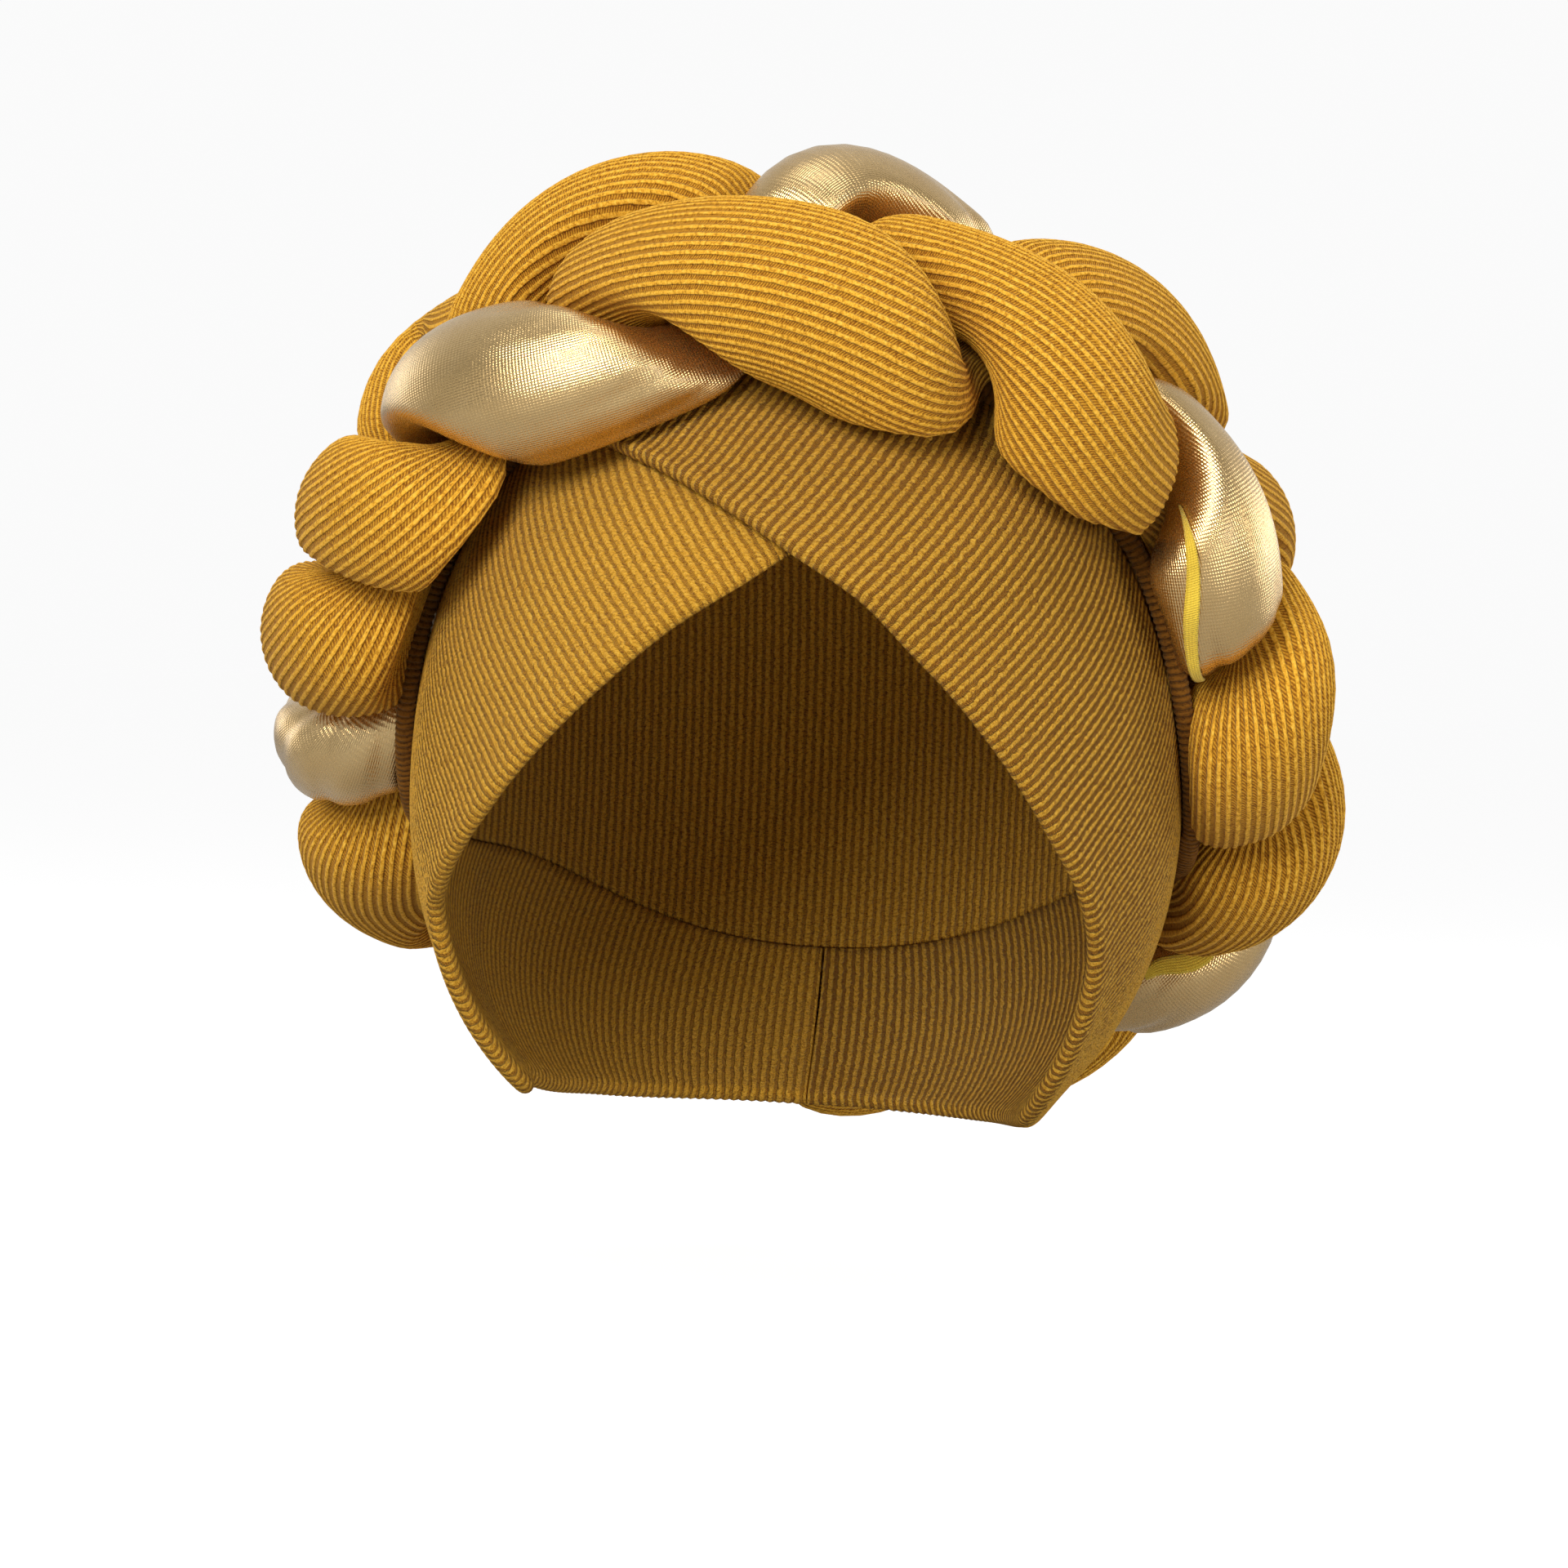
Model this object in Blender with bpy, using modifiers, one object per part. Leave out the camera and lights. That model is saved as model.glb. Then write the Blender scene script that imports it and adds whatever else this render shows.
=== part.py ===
"""A turban cap of ribbed knit with a stuffed three-strand plait round it like a wreath.

Metres, +Z up, the face opening towards -Y. The origin is the inside of the crown, where the
top of the head meets the cap. Every mesh is built round the middle of the head form, and an
empty at that middle carries all the pieces.
"""

import math

import bmesh
import bpy
import numpy as np
from mathutils.kdtree import KDTree

# The head form that the cap is stretched over.
HEAD_HALF_WIDTH = 0.0780
HEAD_HALF_LENGTH = 0.0950
CROWN_HEIGHT = 0.0990
NAPE_DEPTH = 0.0810
HEAD_SQUARENESS = 2.12

# Cloth. Both front panels are folded double, and one passes over the other at the forehead.
CROWN_WALL = 0.0022
PANEL_WALL = 0.0030
HEM_BULGE = 0.0014
HEM_REACH = 0.0060
LAYER_GAP = 0.0007
OVERLAP_AZIMUTH = 50.0
OVERLAP_FADE = 12.0
LIFT_RUN = 12.0
LIFT_LEAD = 1.7

# The seam between the crown and the panels, under the plait's lower edge, and its gathered roll.
SEAM_DROP = 0.0100
SEAM_SIDE_DROP = 0.0300
SEAM_SIDE_POWER = 8
SEAM_GAP = 0.0003
SEAM_ROLL_RADIUS = 0.0018
SEAM_RIDGE_REACH = 0.0090
SEAM_POINTS = 56
SEAM_SAMPLES = 1200
SEAM_ROLL_SIDES = 6
CROWN_RINGS = 6

# The wreath's middle line: nearly an ellipse seen from above, tilted down to the nape.
WREATH_HALF_WIDTH = 0.0865
WREATH_HALF_LENGTH = 0.0840
WREATH_BACK_SHIFT = 0.0210
WREATH_HEIGHT = 0.0330
WREATH_RISE = 0.0710
WREATH_NAPE_SWELL = 0.0145
WREATH_NAPE_SHIFT = -0.0035

# The plait.
STRANDS = 3
GOLD_STRAND = 1
PLAIT_HALF_WIDTH = 0.0185
PLAIT_HALF_DEPTH = 0.0060
PLAIT_SEAT = 0.0125
PLAIT_SEAT_SOFTNESS = 1 / 30
KNIT_STRAND_RADIUS = 0.0180
GOLD_STRAND_RADIUS = 0.0158
STRAND_LOBE_SWELL = 0.0014
STRAND_GAP = 0.0012
CAP_GAP = 0.0010
FACET_GAP = 0.0004
LEAST_REACH = 0.0010
REACH_ROUNDS = 14
SMOOTH_ROUNDS = 1
EASE_STEP = 0.0003
EASE_ROUNDS = 16
STRAND_SECTIONS = 90
STRAND_SIDES = 14
STRAND_SAMPLES = 900
ROLL_CHORD_STEPS = 16

# Where the lobes of the plait's two edges lie, as turns round the head from the face: each lobe
# of the lower edge, and the lobe of the crown-side edge that comes half a step after it.
LOBE_COLUMNS = ("lobe", "lower_turn_deg", "upper_turn_deg")
LOBE_ROWS = (
    (-7, -168.0, -160.0),
    (-6, -150.0, -138.0),
    (-5, -119.0, -116.0),
    (-4, -98.0, -96.0),
    (-3, -79.0, -72.0),
    (-2, -57.0, -57.0),
    (-1, -31.0, -17.0),
    (0, 12.5, 12.5),
    (1, 38.0, 61.0),
    (2, 67.0, 87.0),
    (3, 91.0, 107.5),
    (4, 112.0, 125.5),
    (5, 135.0, 145.5),
    (6, 159.0, 168.0),
    (7, 177.0, 185.0),
)

# The edge of each front panel round the face: height above the head's middle at each azimuth
# from the middle of the forehead towards the panel's own side. Below zero it has crossed over.
RIM_COLUMNS = ("azimuth_deg", "over_height", "under_height")
RIM_ROWS = (
    (-44.0, 0.0715, 0.0700),
    (-29.0, 0.0660, 0.0640),
    (-14.0, 0.0592, 0.0560),
    (-4.0, 0.0520, 0.0495),
    (3.0, 0.0457, 0.0420),
    (12.0, 0.0370, 0.0318),
    (21.0, 0.0250, 0.0192),
    (30.0, 0.0100, 0.0062),
    (39.0, -0.0060, -0.0062),
    (48.0, -0.0202, -0.0160),
    (54.0, -0.0330, -0.0220),
    (58.5, -0.0470, -0.0270),
    (62.5, -0.0560, -0.0400),
    (67.0, -0.0605, -0.0525),
    (90.0, -0.0650, -0.0610),
    (130.0, -0.0670, -0.0655),
    (180.0, -0.0670, -0.0670),
)

# A panel runs from the middle of the nape to its end past the forehead, and its hem flattens
# where it has passed under the other one.
PANEL_BACK_AZIMUTH = 179.5
PANEL_END_AZIMUTH = -42.0
HEM_FLAT_AZIMUTH = -12.0
HEM_FLAT_RUN = 10.0
PANEL_DEPTH = 0.0500
RIM_SAMPLES = 600

# Two short lengths where the gold tube's seam turns out and shows the cloth's yellow back:
# from lobe number to lobe number, place round the strand, width, and how far off its free form.
FLAP_COLUMNS = ("name", "start_lobe", "end_lobe", "place_deg", "width", "gap")
FLAP_ROWS = (
    ("gold_seam_flap_upper", 1.62, 2.42, 176.0, 0.0042, 0.0014),
    ("gold_seam_flap_lower", 4.70, 5.05, 200.0, 0.0030, 0.0004),
)
FLAP_WALL = 0.0009
FLAP_SECTIONS = 9
FLAP_TAPER = (0.12, 0.88)

MUSTARD = (0.62, 0.33, 0.035, 1.0)
GOLD = (0.72, 0.53, 0.25, 1.0)
YELLOW = (0.78, 0.58, 0.10, 1.0)


def column(columns, rows, name):
    """One named column of a table as numbers."""
    place = columns.index(name)
    return np.array([row[place] for row in rows], float)


def smooth_curve(places, values, period=None):
    """A smooth curve through values at places; periodic when period is (step, rise)."""
    if period is not None:
        step, rise = period
        places = np.concatenate([places - step, places, places + step])
        values = np.concatenate([values - rise, values, values + rise])
    slopes = np.gradient(values, places)

    def curve(at):
        at = np.asarray(at, float)
        i = np.clip(np.searchsorted(places, at) - 1, 0, len(places) - 2)
        span = places[i + 1] - places[i]
        t = (at - places[i]) / span
        return (
            (2 * t**3 - 3 * t**2 + 1) * values[i]
            + (t**3 - 2 * t**2 + t) * span * slopes[i]
            + (3 * t**2 - 2 * t**3) * values[i + 1]
            + (t**3 - t**2) * span * slopes[i + 1]
        )

    return curve


def smooth_step(t):
    t = np.clip(t, 0.0, 1.0)
    return t * t * (3 - 2 * t)


def unit(v):
    return v / np.linalg.norm(v, axis=-1, keepdims=True)


def head_measure(points, offset=0.0):
    """1 on the head form grown by offset, below 1 inside it."""
    down = NAPE_DEPTH + offset
    up = CROWN_HEIGHT + offset
    x = np.abs(points[..., 0]) / (HEAD_HALF_WIDTH + offset)
    y = np.abs(points[..., 1]) / (HEAD_HALF_LENGTH + offset)
    z = np.abs(points[..., 2]) / np.where(points[..., 2] > 0, up, down)
    n = HEAD_SQUARENESS
    return (x**n + y**n + z**n) ** (1 / n)


def head_normal(points):
    down = np.where(points[..., 2] > 0, CROWN_HEIGHT, NAPE_DEPTH)
    size = np.stack(
        [np.full_like(down, HEAD_HALF_WIDTH), np.full_like(down, HEAD_HALF_LENGTH), down], -1
    )
    n = HEAD_SQUARENESS
    return unit(np.sign(points) * np.abs(points) ** (n - 1) / size**n)


def on_head(azimuth, elevation, offset=0.0):
    """The point of the grown head form in a direction; azimuth 0 is the face, +90 is +X."""
    azimuth, elevation = np.radians(azimuth), np.radians(elevation)
    direction = np.stack(
        [
            np.cos(elevation) * np.sin(azimuth),
            -np.cos(elevation) * np.cos(azimuth),
            np.sin(elevation),
        ],
        -1,
    )
    return direction / head_measure(direction, offset)[..., None]


def wreath_line(turn):
    """The plait's middle line at a turn in radians round the head."""
    behind = (1 - np.cos(turn)) / 2
    swell = WREATH_NAPE_SWELL * np.sin(2 * turn) * behind - WREATH_NAPE_SHIFT * behind
    return np.stack(
        [
            WREATH_HALF_WIDTH * np.sin(turn) - swell,
            WREATH_BACK_SHIFT - WREATH_HALF_LENGTH * np.cos(turn),
            WREATH_HEIGHT + WREATH_RISE * np.cos(turn),
        ],
        -1,
    )


def above_seam(points):
    """Above zero on the crown's side of the seam: a tilted plane that dips beside the ears."""
    slope = -WREATH_RISE / WREATH_HALF_LENGTH
    rise = points[..., 2] - WREATH_HEIGHT - slope * (points[..., 1] - WREATH_BACK_SHIFT)
    sideways = np.abs(points[..., 0]) / HEAD_HALF_WIDTH
    return rise / math.hypot(1.0, slope) + SEAM_DROP + SEAM_SIDE_DROP * sideways**SEAM_SIDE_POWER


def seam_distance(points):
    """Distance from the seam along the head's surface, close to the seam."""
    out = head_normal(points)
    step = 1e-4
    steps = [step * axis for axis in np.eye(3)]
    slope = np.stack([above_seam(points + s) - above_seam(points - s) for s in steps], -1)
    slope = slope / (2 * step)
    slope = slope - (slope * out).sum(-1, keepdims=True) * out
    return above_seam(points) / np.linalg.norm(slope, axis=-1)


def wreath_frame(turn):
    """Middle line, unit direction across it to the crown, and unit direction off the head."""
    step = 1e-4
    middle = wreath_line(turn)
    along = unit(wreath_line(turn + step) - wreath_line(turn - step))
    out = head_normal(middle)
    out = unit(out - (out * along).sum(-1, keepdims=True) * along)
    return middle, np.cross(out, along), out


def lobe_turns(name, half_step):
    """The turn in radians of one edge's lobes, as a smooth curve of the lobe number."""
    lobes = column(LOBE_COLUMNS, LOBE_ROWS, "lobe") + half_step
    turns = np.radians(column(LOBE_COLUMNS, LOBE_ROWS, name))
    return smooth_curve(lobes, turns, period=(len(LOBE_ROWS), 2 * math.pi))


def strand_middle(number, lobe):
    """A strand's centre at a lobe number, where its turn swings between the two edges' own
    turns, held off the head so that the strand keeps its body where it passes underneath."""
    phase = math.pi + (lobe + number) * 2 * math.pi / STRANDS
    to_upper = (1 + np.cos(phase)) / 2
    lower_turn = lobe_turns("lower_turn_deg", 0.0)(lobe)
    upper_turn = lobe_turns("upper_turn_deg", 0.5)(lobe)
    middle, across, out = wreath_frame(lower_turn + (upper_turn - lower_turn) * to_upper)
    sideways = across * (PLAIT_HALF_WIDTH * np.cos(phase))[:, None]
    centre = middle + sideways - out * (PLAIT_HALF_DEPTH * np.sin(2 * phase))[:, None]
    power = 1 / PLAIT_SEAT_SOFTNESS
    lifted = (1 + head_measure(centre, PLAIT_SEAT) ** -power) ** PLAIT_SEAT_SOFTNESS
    return centre * lifted[:, None], out


def strand_line(number, lobe, free_radius):
    """The centre line of one strand, with its cross axes and its free radius."""
    step = 1e-3
    line, out = strand_middle(number, lobe)
    direction = unit(strand_middle(number, lobe + step)[0] - strand_middle(number, lobe - step)[0])
    up = unit(out - (out * direction).sum(-1, keepdims=True) * direction)
    side = np.cross(up, direction)
    edge = np.cos((lobe + number) * 4 * math.pi / STRANDS)
    return line, side, up, free_radius + STRAND_LOBE_SWELL * edge


def line_tree(line):
    """A search tree over a closely sampled line."""
    tree = KDTree(len(line))
    for i, point in enumerate(line):
        tree.insert(point, i)
    tree.balance()
    return tree


def along_chords(points, steps):
    """Points along the straight runs of a closed polyline."""
    shares = np.linspace(0.0, 1.0, steps, endpoint=False)[None, :, None]
    run = (np.roll(points, -1, 0) - points)[:, None, :]
    return (points[:, None, :] + run * shares).reshape(-1, 3)


def distance_to(tree, points):
    found = [tree.find(point)[2] for point in points.reshape(-1, 3)]
    return np.array(found).reshape(points.shape[:-1])


def overlap_lift(azimuth):
    """How much higher the cap is where one front panel passes over the other."""
    fade = smooth_step((np.abs(azimuth) - OVERLAP_AZIMUTH) / OVERLAP_FADE)
    return (PANEL_WALL + LAYER_GAP) * (1.0 - fade)


def cap_clearance(points, ridge_height):
    """How far off the head form a strand stays: over the panels and their crossing, and over
    the seam's roll, which lifts it a little way to each side."""
    azimuth = np.degrees(np.arctan2(points[..., 0], -points[..., 1]))
    beside = seam_distance(points) / SEAM_RIDGE_REACH
    hem = HEM_BULGE * overlap_lift(azimuth) / (PANEL_WALL + LAYER_GAP)
    return PANEL_WALL + overlap_lift(azimuth) + hem + ridge_height * np.exp(-(beside**4))


def clear_of_strands(points, own, others, gap):
    """True where a point is nearer, less each thickness, to its own strand than to the others.

    others holds each neighbour's tree and how much thicker than this strand it is."""
    own_distance = distance_to(own, points)
    clear = np.ones(points.shape[:-1], bool)
    for other, thicker in others:
        clear &= distance_to(other, points) - own_distance >= gap + thicker
    return clear


def pressed_reach(line, rays, radius, own, others):
    """How far each ray of each ring goes before the neighbours or the cap stop it."""
    ridge_height = 2 * SEAM_ROLL_RADIUS + LAYER_GAP
    full = np.repeat(radius[:, None], rays.shape[1], 1)
    low, high = np.full(full.shape, LEAST_REACH), full
    for _ in range(REACH_ROUNDS):
        reach = (low + high) / 2
        points = line[:, None, :] + rays * reach[..., None]
        free = head_measure(points, cap_clearance(points, ridge_height) + CAP_GAP) >= 1.0
        free &= clear_of_strands(points, own, others, STRAND_GAP)
        low = np.where(free, reach, low)
        high = np.where(free, high, reach)
    return np.where(high >= full * 0.9999, full, low)


def levelled_reach(reach):
    """The reach with single points that stand out past their neighbours brought down."""
    for _ in range(SMOOTH_ROUNDS):
        round_about = np.roll(reach, 1, 0) + np.roll(reach, -1, 0)
        round_about += np.roll(reach, 1, 1) + np.roll(reach, -1, 1)
        reach = np.minimum(reach, round_about / 4)
    return reach


def eased_reach(line, rays, reach, own, others, roll):
    """The reach drawn in a little wherever a facet between the rings would touch something."""
    shares = (0.0, 0.25, 0.5, 0.75)
    for _ in range(EASE_ROUNDS):
        points = line[:, None, :] + rays * reach[..., None]
        ahead, beside = np.roll(points, -1, 0), np.roll(points, -1, 1)
        corner = np.roll(ahead, -1, 1)
        touching = np.zeros(reach.shape, bool)
        for u in shares:
            for v in shares:
                third, share = (ahead, u - v) if u > v else (beside, v - u)
                facet = points * (1 - max(u, v)) + third * share + corner * min(u, v)
                clear = head_measure(facet, cap_clearance(facet, 0.0) + FACET_GAP) >= 1.0
                clear &= clear_of_strands(facet, own, others, FACET_GAP)
                clear &= distance_to(roll, facet) >= SEAM_ROLL_RADIUS + FACET_GAP
                touching |= ~clear
        if not touching.any():
            break
        touching |= np.roll(touching, 1, 0)
        touching |= np.roll(touching, 1, 1)
        reach = np.where(touching, np.maximum(reach - EASE_STEP, LEAST_REACH), reach)
    return reach


def ring_rays(side, up, angles):
    return (
        side[:, None, :] * np.cos(angles)[None, :, None]
        + up[:, None, :] * np.sin(angles)[None, :, None]
    )


def new_object(name, mesh, material, parent, collection):
    piece = bpy.data.objects.new(name, mesh)
    mesh.materials.append(material)
    piece.parent = parent
    collection.objects.link(piece)
    return piece


def loft(name, sections, closed):
    """A solid through rings of points: a closed loop of rings, or a run with its ends capped."""
    bm = bmesh.new()
    rings = [[bm.verts.new(point) for point in ring] for ring in sections]
    pairs = list(zip(rings, rings[1:]))
    if closed:
        pairs.append((rings[-1], rings[0]))
    for first, second in pairs:
        for i in range(len(first)):
            j = (i + 1) % len(first)
            bm.faces.new((first[i], first[j], second[j]))
            bm.faces.new((first[i], second[j], second[i]))
    if not closed:
        ends = [bm.faces.new(reversed(rings[0])), bm.faces.new(rings[-1])]
        bmesh.ops.triangulate(bm, faces=ends)
    bmesh.ops.recalc_face_normals(bm, faces=bm.faces)
    mesh = bpy.data.meshes.new(name)
    bm.to_mesh(mesh)
    bm.free()
    mesh.shade_smooth()
    return mesh


def elevation_where(azimuth, measure):
    """The elevation at each azimuth where a measure of the head's surface changes sign."""
    low = np.full(len(azimuth), -80.0)
    high = np.full(len(azimuth), 89.0)
    for _ in range(40):
        middle = (low + high) / 2
        above = measure(on_head(azimuth, middle)) > 0
        high = np.where(above, middle, high)
        low = np.where(above, low, middle)
    return (low + high) / 2


def rim_elevation(azimuth, side):
    """Elevation of a panel's face edge; side is +1 for the panel that comes from +X."""
    name = "over_height" if side > 0 else "under_height"
    places = column(RIM_COLUMNS, RIM_ROWS, "azimuth_deg")
    height = smooth_curve(places, column(RIM_COLUMNS, RIM_ROWS, name))(side * azimuth)
    return elevation_where(azimuth, lambda points: points[..., 2] - height)


def seam_elevation(azimuth, gap):
    return elevation_where(azimuth, lambda points: above_seam(points) + gap)


def panel_lift(azimuth, elevation, side):
    """How far a panel stands off the head where it passes over the other panel."""
    if side < 0:
        return np.zeros_like(azimuth)
    climb = (elevation - rim_elevation(azimuth, -side)) / LIFT_RUN + LIFT_LEAD
    on_this_side = np.maximum(azimuth, 0.0)
    return overlap_lift(on_this_side) * smooth_step(climb)


def evenly_along(azimuth, points, count):
    """The azimuths of points that divide a line evenly along its length."""
    steps = np.linalg.norm(np.diff(points, axis=0), axis=1)
    length = np.concatenate([[0.0], np.cumsum(steps)])
    return np.interp(np.linspace(0.0, length[-1], count), length, azimuth)


def seam_azimuths():
    """Azimuths from the nape round to the nape that divide the seam evenly."""
    azimuth = np.linspace(-180.0, 180.0, SEAM_SAMPLES)
    seam = on_head(azimuth, seam_elevation(azimuth, 0.0))
    return evenly_along(azimuth, seam, SEAM_POINTS + 1)[:-1]


def panel_mesh(name, side):
    """One front panel: a folded strip from the back seam round one side and over the forehead."""
    outer_share = (0.0, 0.2, 0.4, 0.6, 0.78, 0.9, 0.97)
    inner_share = (0.97, 0.88, 0.6, 0.3, 0.0)
    edge_walls = (0.75, 0.25)
    shared = np.sort(side * seam_azimuths())[::-1]
    inside = shared[(shared < PANEL_BACK_AZIMUTH - 1) & (shared > PANEL_END_AZIMUTH + 1)]
    seam_azimuth = side * np.concatenate([[PANEL_BACK_AZIMUTH], inside, [PANEL_END_AZIMUTH]])
    dense = side * np.linspace(PANEL_BACK_AZIMUTH, PANEL_END_AZIMUTH, RIM_SAMPLES)
    rim_line = on_head(dense, rim_elevation(dense, side))
    rim_azimuth = evenly_along(dense, rim_line, len(seam_azimuth))
    top = seam_elevation(seam_azimuth, SEAM_GAP)
    rim = rim_elevation(rim_azimuth, side)
    crossed = smooth_step((rim_azimuth - HEM_FLAT_AZIMUTH) / HEM_FLAT_RUN)
    hem = HEM_BULGE * (np.ones_like(rim) if side > 0 else 1.0 - crossed)

    def row(share, wall):
        azimuth = seam_azimuth + (rim_azimuth - seam_azimuth) * share
        elevation = top + (rim - top) * share
        bulge = hem * math.exp(-(((1 - share) * PANEL_DEPTH / HEM_REACH) ** 2))
        lift = panel_lift(azimuth, elevation, side)
        return on_head(azimuth, elevation, lift + wall * (PANEL_WALL + bulge))

    rows = [row(share, 1.0) for share in outer_share]
    rows += [row(1.0, wall) for wall in edge_walls]
    rows += [row(share, 0.0) for share in inner_share]
    return loft(name, np.stack(rows, 1), closed=False)


def crown_mesh(name):
    """The crown: an open bowl above the seam, thickened by its Solidify modifier."""
    azimuth = seam_azimuths()
    edge = unit(on_head(azimuth, seam_elevation(azimuth, -SEAM_GAP)))
    tilt = math.atan2(WREATH_RISE, WREATH_HALF_LENGTH)
    pole = np.array([0.0, math.sin(tilt), math.cos(tilt)])
    angle = np.arccos(edge @ pole)[:, None]
    bm = bmesh.new()
    tip = bm.verts.new(pole / head_measure(pole))
    rings = []
    for share in np.linspace(0.0, 1.0, CROWN_RINGS + 1)[1:]:
        direction = pole * np.sin((1 - share) * angle) + edge * np.sin(share * angle)
        points = direction / head_measure(direction)[:, None]
        rings.append([bm.verts.new(point) for point in points])
    for i in range(len(azimuth)):
        j = (i + 1) % len(azimuth)
        bm.faces.new((tip, rings[0][i], rings[0][j]))
        for first, second in zip(rings, rings[1:]):
            bm.faces.new((first[i], second[i], second[j], first[j]))
    bmesh.ops.recalc_face_normals(bm, faces=bm.faces)
    mesh = bpy.data.meshes.new(name)
    bm.to_mesh(mesh)
    bm.free()
    mesh.shade_smooth()
    return mesh


def seam_roll_line(azimuth):
    height = PANEL_WALL + LAYER_GAP + SEAM_ROLL_RADIUS + overlap_lift(azimuth)
    return on_head(azimuth, seam_elevation(azimuth, 0.0), height)


def seam_roll_mesh(name):
    """The gathered roll that stands on the seam all round, as rings round its middle line."""
    line = seam_roll_line(seam_azimuths())
    along = unit(np.roll(line, -1, 0) - np.roll(line, 1, 0))
    out = head_normal(line)
    out = unit(out - (out * along).sum(-1, keepdims=True) * along)
    angles = np.arange(SEAM_ROLL_SIDES) * 2 * math.pi / SEAM_ROLL_SIDES
    rays = ring_rays(np.cross(out, along), out, angles)
    return loft(name, line[:, None, :] + SEAM_ROLL_RADIUS * rays, closed=True)


def flap_mesh(trees, sizes, name, start_lobe, end_lobe, place_deg, width, gap):
    """A short turned-out edge that lies against the gold strand, widest at its middle."""
    size = sizes[GOLD_STRAND]
    lobes = np.linspace(start_lobe, end_lobe, FLAP_SECTIONS)
    line, side, up, radius = strand_line(GOLD_STRAND, lobes, size)
    others = [(trees[k], sizes[k] - size) for k in range(STRANDS) if k != GOLD_STRAND]
    half = math.degrees(width / 2 / size)
    rays = ring_rays(side, up, np.radians([place_deg - half, place_deg, place_deg + half]))
    reach = pressed_reach(line, rays, radius, trees[GOLD_STRAND], others)
    surface = line[:, None, :] + rays * reach[..., None]
    taper = np.sin(np.linspace(*FLAP_TAPER, FLAP_SECTIONS) * math.pi)[:, None, None]
    surface = surface[:, 1:2] + (surface - surface[:, 1:2]) * taper
    low = surface + rays * gap
    high = surface + rays * (gap + FLAP_WALL)
    return loft(name, np.concatenate([low, high[:, ::-1]], 1), closed=False)


def material(name, colour, roughness, metallic):
    made = bpy.data.materials.new(name)
    made.use_nodes = True
    shader = made.node_tree.nodes["Principled BSDF"]
    shader.inputs["Base Color"].default_value = colour
    shader.inputs["Roughness"].default_value = roughness
    shader.inputs["Metallic"].default_value = metallic
    made.diffuse_color = colour
    return made


def add_plait(parent, collection, knit, gold, yellow):
    lobes = np.linspace(0.0, len(LOBE_ROWS), STRAND_SECTIONS, endpoint=False)
    dense = np.linspace(0.0, len(LOBE_ROWS), STRAND_SAMPLES, endpoint=False)
    angles = np.arange(STRAND_SIDES) * 2 * math.pi / STRAND_SIDES
    roll = line_tree(along_chords(seam_roll_line(seam_azimuths()), ROLL_CHORD_STEPS))
    strands = (
        ("strand_knit_a", knit, KNIT_STRAND_RADIUS),
        ("strand_gold", gold, GOLD_STRAND_RADIUS),
        ("strand_knit_b", knit, KNIT_STRAND_RADIUS),
    )
    sizes = [size for _, _, size in strands]
    trees = [line_tree(strand_line(number, dense, size)[0]) for number, size in enumerate(sizes)]
    for number, (name, finish, size) in enumerate(strands):
        line, side, up, radius = strand_line(number, lobes, size)
        rays = ring_rays(side, up, angles)
        others = [(trees[k], sizes[k] - size) for k in range(STRANDS) if k != number]
        reach = pressed_reach(line, rays, radius, trees[number], others)
        reach = eased_reach(line, rays, levelled_reach(reach), trees[number], others, roll)
        rings = line[:, None, :] + rays * reach[..., None]
        new_object(name, loft(name, rings, closed=True), finish, parent, collection)
    for row in FLAP_ROWS:
        flap = dict(zip(FLAP_COLUMNS, row))
        new_object(flap["name"], flap_mesh(trees, sizes, **flap), yellow, parent, collection)


def add_cap(parent, collection, knit):
    crown = new_object("crown_cap", crown_mesh("crown_cap"), knit, parent, collection)
    shell = crown.modifiers.new("wall", "SOLIDIFY")
    shell.thickness = CROWN_WALL
    shell.offset = 1.0
    for name, side in (("front_panel_over", 1), ("front_panel_under", -1)):
        new_object(name, panel_mesh(name, side), knit, parent, collection)
    new_object("seam_roll", seam_roll_mesh("seam_roll"), knit, parent, collection)


def main():
    for existing in list(bpy.data.objects):
        bpy.data.objects.remove(existing)
    collection = bpy.data.collections.new("plaited_turban_cap")
    bpy.context.scene.collection.children.link(collection)
    head_middle = bpy.data.objects.new("head_middle", None)
    head_middle.location = (0.0, 0.0, -CROWN_HEIGHT)
    collection.objects.link(head_middle)
    knit = material("mustard_rib_knit", MUSTARD, 0.85, 0.0)
    gold = material("gold_foil_cloth", GOLD, 0.35, 0.9)
    yellow = material("yellow_cloth_back", YELLOW, 0.7, 0.0)
    add_cap(head_middle, collection, knit)
    add_plait(head_middle, collection, knit, gold, yellow)


main()
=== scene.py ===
import math

import bpy
import numpy as np
from mathutils import Matrix, Vector
from mathutils.kdtree import KDTree


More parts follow.
